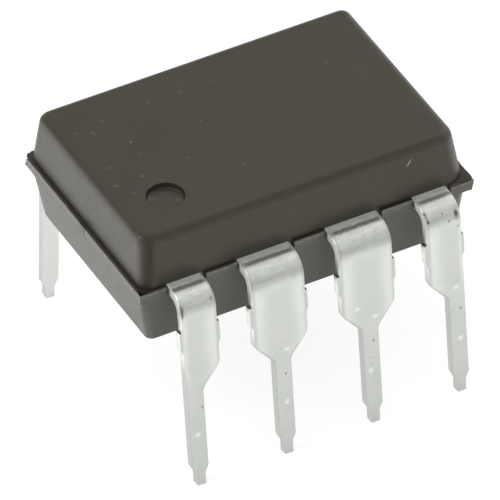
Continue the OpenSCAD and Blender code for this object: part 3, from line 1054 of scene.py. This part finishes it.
def press_root(lead, root_steps):
    """Extrudes the part inside the resin. The steps are (y, left edge, right edge)."""
    pick("faces", lambda face: face.normal.y < -0.9)
    last = root_steps[0]
    for step in root_steps[1:]:
        slide = (step[1] + step[2] - last[1] - last[2]) / 2
        extrude((slide, step[0] - last[0], 0))
        factor = (step[2] - step[1]) / (last[2] - last[1])
        scale_about((factor, 1, 1), ((step[1] + step[2]) / 2, 0, 0))
        last = step


def press_leg(left, right):
    """Continues a lead from the wall outwards. Left and right are its half widths."""
    pick("faces", lambda face: face.normal.y < -0.9)
    extrude((0, run_y - bend_y, 0))
    bpy.ops.mesh.spin(
        steps=12, angle=splay - math.pi / 2, center=(0, -bend_y, bend_z), axis=(1, 0, 0)
    )
    step_to(dam_z, leg_start_z)
    step_to(dam_end_z, dam_z)
    step_to(seat_z, dam_end_z)
    pivot_x = 0 if left == right else -left
    step_to(leg_top_z, seat_z, leg_w / (left + right), pivot_x)
    step_to(leg_end_z, leg_top_z)
    step_to(nib_z, leg_end_z, nib_w / leg_w)
    step_to(0, nib_z)


def press_lead(name, left, right, root_steps):
    """Presses a lead from a block, from its inner end to its tip."""
    (start_y, start_left, start_right), first = root_steps[:2]
    size = (start_right - start_left, start_y - first[0], sheet)
    centre = ((start_left + start_right) / 2, (start_y + first[0]) / 2, sheet_z + sheet / 2)
    lead = add_block(name, size, centre)
    edit(lead)
    press_root(lead, root_steps[1:])
    press_leg(left, right)
    leave_edit()
    merge_and_turn_out(lead)
    return lead


half = shoulder_w / 2
neck = finger_w / 2
middle_lead = press_lead("middle_lead", half, half, [
    (-finger_end_y, -neck, neck),
    (-1.78, -neck, neck),
    (-root_y, -half, half),
    (-run_y, -half, half),
])
end_reach = 1.86
end_lead = press_lead("end_lead", leg_w / 2, half, [
    (-0.4, end_reach - finger_w, end_reach),
    (-1.1, end_reach - finger_w, end_reach),
    (-2.05, -leg_w / 2, half),
    (-run_y, -leg_w / 2, half),
])
for lead in (middle_lead, end_lead):
    print(lead.name, "faces", len(lead.data.polygons), "open edges", open_edges(lead))

# %% [markdown]
# The stamping die's corners are round, so the lead's outline is too where its width
# changes. Stamping also pulls the sheet's upper edge down, so the outer rim of a lead is
# softly rounded, while the inner rim stays almost sharp. The dam bar was sheared off after
# that, so its stubs are drawn out last, from the flat part of the side faces. They get
# shorter outwards at their lower end.

# %% Round outline, soft outer rims, dam bar stubs and nearly sharp inner rims
outline_radii = [(seat_z, 0.10), (leg_top_z, 0.13), (leg_end_z, 0.04), (nib_z, 0.04)]
outer_roll = 0.055
inner_break = 0.01
stub_taper = 0.78


def through_sheet_at(z):
    """A test for the edges through the thickness of the sheet at a height of the leg."""
    def test(edge):
        along = (edge.verts[1].co - edge.verts[0].co).normalized()
        thickness_wise = abs(along.x) < 0.01 and abs(along.dot(down)) < 0.1
        return thickness_wise and abs(middle(edge).z - z) < 0.06 and middle(edge).y < -3.9
    return test


def bends_in_outline(edge):
    """True where the two faces beside an edge don't lie in one plane."""
    return len(edge.link_faces) == 2 and edge.calc_face_angle() > 0.05


def round_outline():
    """Rounds the corners of the outline, each with its own radius."""
    for z, radius in outline_radii:
        at_height = through_sheet_at(z)
        pick("edges", lambda edge: at_height(edge) and bends_in_outline(edge))
        round_edges(radius, 4)


def is_outer(face):
    """True for the face of the sheet that is on top before the bend and outside after it."""
    centre = face.calc_center_median()
    outside = face.normal.y < -0.5 or (face.normal.z > 0.3 and centre.z > leg_start_z)
    return abs(face.normal.x) < 0.3 and outside


def on_outer_rim(edge):
    """An edge between the outer face and a side face, outside the resin and above the nib."""
    sides = [is_outer(face) for face in edge.link_faces]
    centre = middle(edge)
    return len(sides) == 2 and sides[0] != sides[1] and centre.y < -run_y and centre.z > leg_end_z


def press_stubs():
    """Draws the dam bar's stubs out of the shoulder's two edges."""
    for side in (-1, 1):
        def on_side(face):
            centre = face.calc_center_median()
            return face.normal.x * side > 0.99 and dam_end_z < centre.z < dam_z
        pick("faces", on_side)
        extrude((side * dam_stub, 0, 0))
        scale_about((1, 1, stub_taper), (0, 0, dam_z))


for lead in (middle_lead, end_lead):
    edit(lead)
    round_outline()
    pick("edges", on_outer_rim)
    round_edges(outer_roll, 4)
    press_stubs()
    leave_edit()
    merge_and_turn_out(lead)
    apply_modifier(
        lead, "BEVEL", width=inner_break, segments=2, limit_method="ANGLE",
        angle_limit=math.radians(40), use_clamp_overlap=False,
    )
    print(lead.name, "faces", len(lead.data.polygons), "open edges", open_edges(lead))

# %% [markdown]
# Leads 1 to 4 are in front from left to right, and 5 to 8 behind from right to left. A
# middle lead is copied to its place. Lead 4 is the mirror image of lead 1, and the rear
# row is the front row turned half round.

# %% Copy the leads to their places
def copy_lead(source, mirrored):
    """A copy with its own mesh, mirrored from left to right if asked."""
    lead = source.copy()
    lead.data = source.data.copy()
    bpy.context.scene.collection.objects.link(lead)
    if mirrored:
        clear_selection()
        lead.select_set(True)
        bpy.context.view_layer.objects.active = lead
        lead.scale = (-1, 1, 1)
        place_in_mesh()
        merge_and_turn_out(lead)
    return lead


for number in range(1, 9):
    source = end_lead if number in (1, 4, 5, 8) else middle_lead
    lead = copy_lead(source, number in (4, 8))
    lead.location = (lead_x(number), 0, 0)
    lead.rotation_euler = (0, 0, 0 if number <= 4 else math.pi)
    clear_selection()
    lead.select_set(True)
    bpy.context.view_layer.objects.active = lead
    place_in_mesh()
    node = "lead_" + str(number)
    finish_piece(lead, "tin_lead_" + str(number), tin, [node])
for lead in (middle_lead, end_lead):
    bpy.data.objects.remove(lead)

# %% [markdown]
# ## The inner parts
# The paddle, the die, its glue and the wires already have the right shape in the CAD
# model. They stay as they are and get finishes of their own.

# %% Finishes of the inner parts
def make_copper():
    material, tree, shader, place = start_material("copper_frame", (0.7, 0.42, 0.28, 1))
    cloud = pattern(tree, mottle, Place=place, Grain=0.4, Detail=3.0, Contrast=0.25)
    tone = blend_colour(tree, cloud, (0.62, 0.36, 0.23, 1), (0.74, 0.46, 0.31, 1))
    parts = put(tree, "SeparateXYZ", Vector=place)
    outwards = maths(tree, "ABSOLUTE", parts.outputs[0])
    smeared = ramp(tree, outwards, 4.56, 4.62)
    looks_up = ramp(tree, facing(tree)[2], 0.5, 0.9)
    # The smeared end of the tie bar takes the resin's tones: dark on top, and on its upright face the flash's paler
    # tone, which holds the painted sheen of the end walls
    resin_film_and_sheen = blend_colour(tree, looks_up, (0.19, 0.187, 0.178, 1), (0.02, 0.017, 0.013, 1))
    tree.links.new(blend_colour(tree, smeared, tone, resin_film_and_sheen), shader.inputs["Base Color"])
    tree.links.new(ramp(tree, smeared, 0.0, 1.0, 1.0, 0.0), shader.inputs["Metallic"])
    tree.links.new(ramp(tree, smeared, 0.0, 1.0, 0.35, 0.5), shader.inputs["Roughness"])
    bump(tree, shader, cloud, 0.003)
    return material


def make_silver_epoxy():
    material, tree, shader, place = start_material("silver_epoxy", (0.7, 0.7, 0.68, 1))
    flakes = pattern(tree, mottle, Place=place, Grain=0.02, Detail=2.0, Contrast=0.2)
    tone = blend_colour(tree, flakes, (0.45, 0.45, 0.43, 1), (0.7, 0.7, 0.68, 1))
    tree.links.new(tone, shader.inputs["Base Color"])
    tree.links.new(ramp(tree, flakes, 0.0, 1.0, 0.0, 0.8), shader.inputs["Metallic"])
    bump(tree, shader, flakes, 0.003)
    return material


def make_silicon():
    material, tree, shader, place = start_material("silicon", (0.3, 0.33, 0.4, 1))
    tiles = put(
        tree, "TexBrick", {"offset": 0.0}, Vector=place, Scale=1.0, Mortar_Size=0.006,
        Brick_Width=0.23, Row_Height=0.17, Color1=(0.10, 0.13, 0.20, 1),
        Color2=(0.16, 0.13, 0.18, 1), Mortar=(0.30, 0.31, 0.34, 1),
    )
    tree.links.new(tiles.outputs["Color"], shader.inputs["Base Color"])
    tree.links.new(ramp(tree, tiles.outputs["Fac"], 0.0, 1.0, 0.15, 0.35), shader.inputs["Roughness"])
    shader.inputs["Metallic"].default_value = 0.6
    return material


def make_gold():
    material, tree, shader, place = start_material("gold_wire", (0.9, 0.66, 0.25, 1))
    shader.inputs["Metallic"].default_value = 1.0
    cloud = pattern(tree, mottle, Place=place, Grain=0.05, Detail=2.0, Contrast=0.3)
    tone = blend_colour(tree, cloud, (0.88, 0.62, 0.22, 1), (0.95, 0.72, 0.32, 1))
    tree.links.new(tone, shader.inputs["Base Color"])
    tree.links.new(ramp(tree, cloud, 0.0, 1.0, 0.18, 0.28), shader.inputs["Roughness"])
    return material


def give_finish(node, material):
    """Puts a material on a CAD node's own object."""
    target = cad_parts[node]
    target.data.materials.clear()
    target.data.materials.append(material)


give_finish("die_paddle", make_copper())
give_finish("die_attach", make_silver_epoxy())
give_finish("die", make_silicon())
gold = make_gold()
for number in range(1, 9):
    give_finish("bond_wire_" + str(number), gold)
print("finishes on inner parts:", 3 + 8)

# %% [markdown]
# ## The table and the light
# The photograph has a plain white ground. The floor is pale and shows itself white to the
# camera and in reflections, and it keeps a soft shadow under the package.

# %% Floor
floor_size = 2.0
clear_selection()
bpy.ops.mesh.primitive_plane_add(size=floor_size, location=(0, 0, 0))
floor = bpy.context.object
floor.name = "floor"
floor_paint = bpy.data.materials.new("floor_paint")
floor_paint.use_nodes = True
tree = floor_paint.node_tree
floor_shader = tree.nodes["Principled BSDF"]
floor_shader.inputs["Base Color"].default_value = (0.38, 0.38, 0.38, 1)
floor_shader.inputs["Roughness"].default_value = 1.0
floor_shader.inputs["Specular IOR Level"].default_value = 0.0
floor_shader.inputs["Emission Color"].default_value = (1, 1, 1, 1)
rays = put(tree, "LightPath")
seen = maths(tree, "MAXIMUM", rays.outputs["Is Camera Ray"], rays.outputs["Is Glossy Ray"])
seen = maths(tree, "MAXIMUM", seen, rays.outputs["Is Transmission Ray"])
tree.links.new(maths(tree, "MULTIPLY", seen, 0.76), floor_shader.inputs["Emission Strength"])
floor.data.materials.append(floor_paint)

# %% World and lamps
world = bpy.data.worlds.new("studio")
world.use_nodes = True
world_background = world.node_tree.nodes["Background"]
world_background.inputs["Color"].default_value = (1, 1, 1, 1)
world_background.inputs["Strength"].default_value = 0.8
bpy.context.scene.world = world


def add_softbox(name, place, size, power):
    """A square area lamp that faces the package."""
    clear_selection()
    bpy.ops.object.light_add(type="AREA", location=place)
    lamp = bpy.context.object
    lamp.name = name
    lamp.data.shape = "SQUARE"
    lamp.data.size = size
    lamp.data.energy = power
    lamp.rotation_euler = (-Vector(place)).to_track_quat("-Z", "Y").to_euler()
    return lamp


add_softbox("softbox_left", (-0.35, 0.05, 0.30), 0.3, 0.65)
add_softbox("softbox_right", (0.35, 0.2, 0.35), 0.3, 0.25)

scene = bpy.context.scene
scene.view_settings.view_transform = "Standard"
